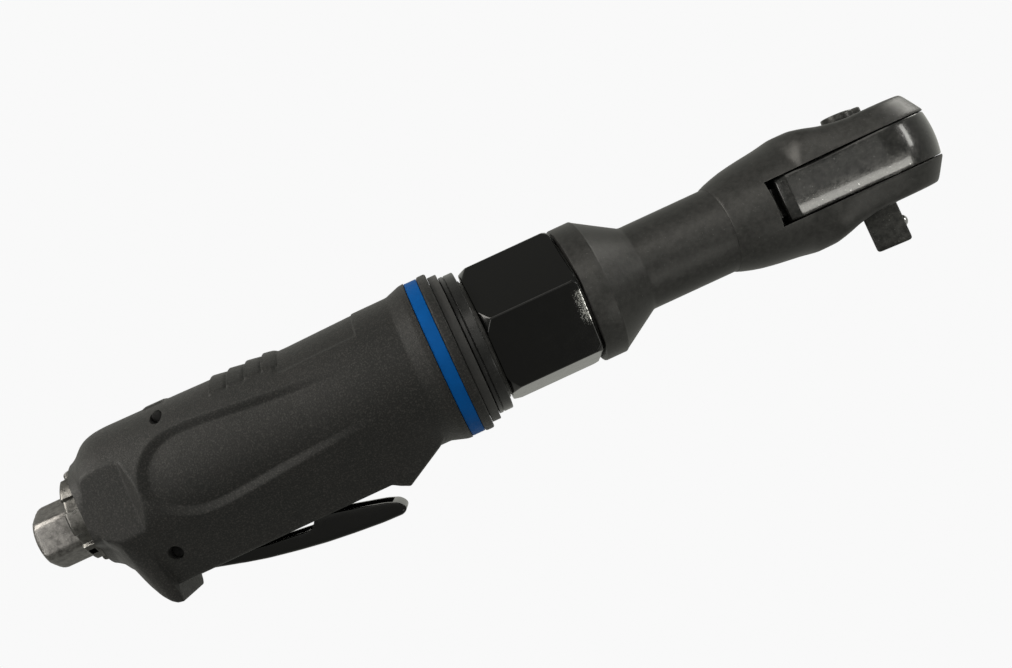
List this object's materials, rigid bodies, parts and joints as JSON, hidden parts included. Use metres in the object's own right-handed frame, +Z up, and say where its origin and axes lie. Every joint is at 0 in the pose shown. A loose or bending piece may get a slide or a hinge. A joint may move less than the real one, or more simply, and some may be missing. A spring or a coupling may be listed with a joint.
{
  "type": "air ratchet",
  "caption": "Pneumatic ratchet wrench: lever-throttle air motor handle, clamp nut, slim neck, and an oscillating yoke head with a square drive.",
  "frame": {"origin": "centre of the square drive's end face, with the drive pointing down", "axes": "+X along the tool axis from the air inlet towards the ratchet head, +Z up, away from the drive; the tool axis is 24.8 mm above the origin"},
  "size_m": [0.2747, 0.048, 0.0592],
  "materials": {
    "composite": "fine-grain soft-touch composite, charcoal",
    "blue": "satin blue",
    "rubber": "matt black",
    "gloss_black": "gloss black paint with worn edges",
    "black_oxide": "satin black oxide finish on steel",
    "gunmetal": "satin gunmetal",
    "steel": "ground",
    "spring_steel": "drawn wire",
    "brass": "machined",
    "iron": "ground casting",
    "felt": "pressed felt",
    "resin": "phenolic laminate"
  },
  "bodies": {
    "handle": {"motor_housing": "composite", "trim_ring": "blue", "bumper_ring": "rubber", "front_gasket": "rubber", "lock_ring": "gloss_black", "clamp_nut": "gloss_black", "ring_gear": "steel", "ratchet_head": "black_oxide", "lever_pin": "steel", "valve_cross_pin": "steel", "valve_plug": "brass", "valve_spring": "spring_steel", "valve_seat": "brass", "inlet_fitting": "gunmetal", "inlet_screen": "brass", "inlet_oring": "rubber", "collar_snap_ring": "steel", "muffler": "felt", "rear_end_plate": "iron", "rear_bearing": "steel", "cylinder": "iron", "cylinder_dowel": "steel", "front_end_plate": "iron", "front_bearing": "steel", "gear_thrust_washer": "steel", "crank_rear_bearing": "steel", "crank_front_bushing": "brass", "thrust_washer": "brass", "retaining_ring": "spring_steel"},
    "throttle": {"throttle_lever": "gloss_black"},
    "valve": {"valve_stem": "steel"},
    "exhaust": {"exhaust_collar": "gunmetal"},
    "rotor": {"rotor": "steel", "vane_1": "resin", "vane_2": "resin", "vane_3": "resin", "vane_4": "resin", "vane_5": "resin"},
    "crank": {"crankshaft": "steel", "planet_pin_1": "steel", "planet_pin_2": "steel", "planet_pin_3": "steel"},
    "planet_1": {"planet_gear_1": "steel"},
    "planet_2": {"planet_gear_2": "steel"},
    "planet_3": {"planet_gear_3": "steel"},
    "bushing": {"drive_bushing": "steel"},
    "yoke": {"ratchet_yoke": "gloss_black"},
    "spindle": {"drive_spindle": "black_oxide", "pawl_pin": "steel", "detent_spring": "spring_steel"},
    "pawl": {"pawl": "steel"},
    "selector": {"reverse_lever": "black_oxide", "pawl_plunger": "steel", "pawl_spring": "spring_steel"},
    "ball": {"detent_ball": "steel"}
  },
  "joints": [
    {"name": "throttle_lever_hinge", "type": "hinge", "parent": "handle", "child": "throttle", "pos_m": [-0.2176, 0, 0.0073], "axis": [0, -1, 0], "range_deg": [0, 6.5]},
    {"name": "valve_stem_slide", "type": "slide", "parent": "handle", "child": "valve", "axis": [0, 0, 1], "range_m": [0, 0.0014], "deforming": ["valve_spring"]},
    {"name": "exhaust_collar_swivel", "type": "hinge", "parent": "handle", "child": "exhaust", "pos_m": [-0.239, 0, 0.0266], "axis": [1, 0, 0], "continuous": true},
    {"name": "rotor_spin", "type": "hinge", "parent": "handle", "child": "rotor", "pos_m": [-0.1714, 0, 0.0248], "axis": [1, 0, 0], "continuous": true},
    {"name": "crankshaft_spin", "type": "hinge", "parent": "handle", "child": "crank", "pos_m": [-0.1, 0, 0.0248], "axis": [1, 0, 0], "continuous": true},
    {"name": "planet_1_spin", "type": "hinge", "parent": "crank", "child": "planet_1", "pos_m": [-0.1376, 0, 0.03455], "axis": [1, 0, 0], "continuous": true},
    {"name": "planet_2_spin", "type": "hinge", "parent": "crank", "child": "planet_2", "pos_m": [-0.1376, -0.00844, 0.01992], "axis": [1, 0, 0], "continuous": true},
    {"name": "planet_3_spin", "type": "hinge", "parent": "crank", "child": "planet_3", "pos_m": [-0.1376, 0.00844, 0.01992], "axis": [1, 0, 0], "continuous": true},
    {"name": "drive_bushing_spin", "type": "hinge", "parent": "crank", "child": "bushing", "pos_m": [-0.036, 0, 0.0273], "axis": [1, 0, 0], "continuous": true},
    {"name": "yoke_swing", "type": "hinge", "parent": "handle", "child": "yoke", "pos_m": [0, 0, 0.0248], "axis": [0, 0, 1], "range_deg": [-4.4, 4.4]},
    {"name": "drive_spindle_spin", "type": "hinge", "parent": "handle", "child": "spindle", "pos_m": [0, 0, 0.0248], "axis": [0, 0, 1], "continuous": true},
    {"name": "reverse_lever_turn", "type": "hinge", "parent": "spindle", "child": "selector", "pos_m": [0, 0, 0.0397], "axis": [0, 0, 1], "range_deg": [-25, 25]},
    {"name": "pawl_rock", "type": "hinge", "parent": "spindle", "child": "pawl", "pos_m": [0.00764, -0.00373, 0.0248], "axis": [0, 0, 1], "range_deg": [-3, 3]},
    {"name": "detent_ball_press", "type": "slide", "parent": "spindle", "child": "ball", "axis": [0.8988, -0.4384, 0], "range_m": [-0.0008, 0]}
  ],
  "couplings": [
    {"joint": "valve_stem_slide", "follows": "throttle_lever_hinge", "m_per_rad": 0.01146},
    {"joint": "crankshaft_spin", "follows": "rotor_spin", "ratio": 0.2},
    {"joint": "planet_1_spin", "follows": "rotor_spin", "ratio": -0.53333},
    {"joint": "planet_2_spin", "follows": "rotor_spin", "ratio": -0.53333},
    {"joint": "planet_3_spin", "follows": "rotor_spin", "ratio": -0.53333},
    {"joint": "drive_bushing_spin", "follows": "rotor_spin", "ratio": -0.2},
    {"joint": "pawl_rock", "follows": "reverse_lever_turn", "ratio": 0.12}
  ]
}
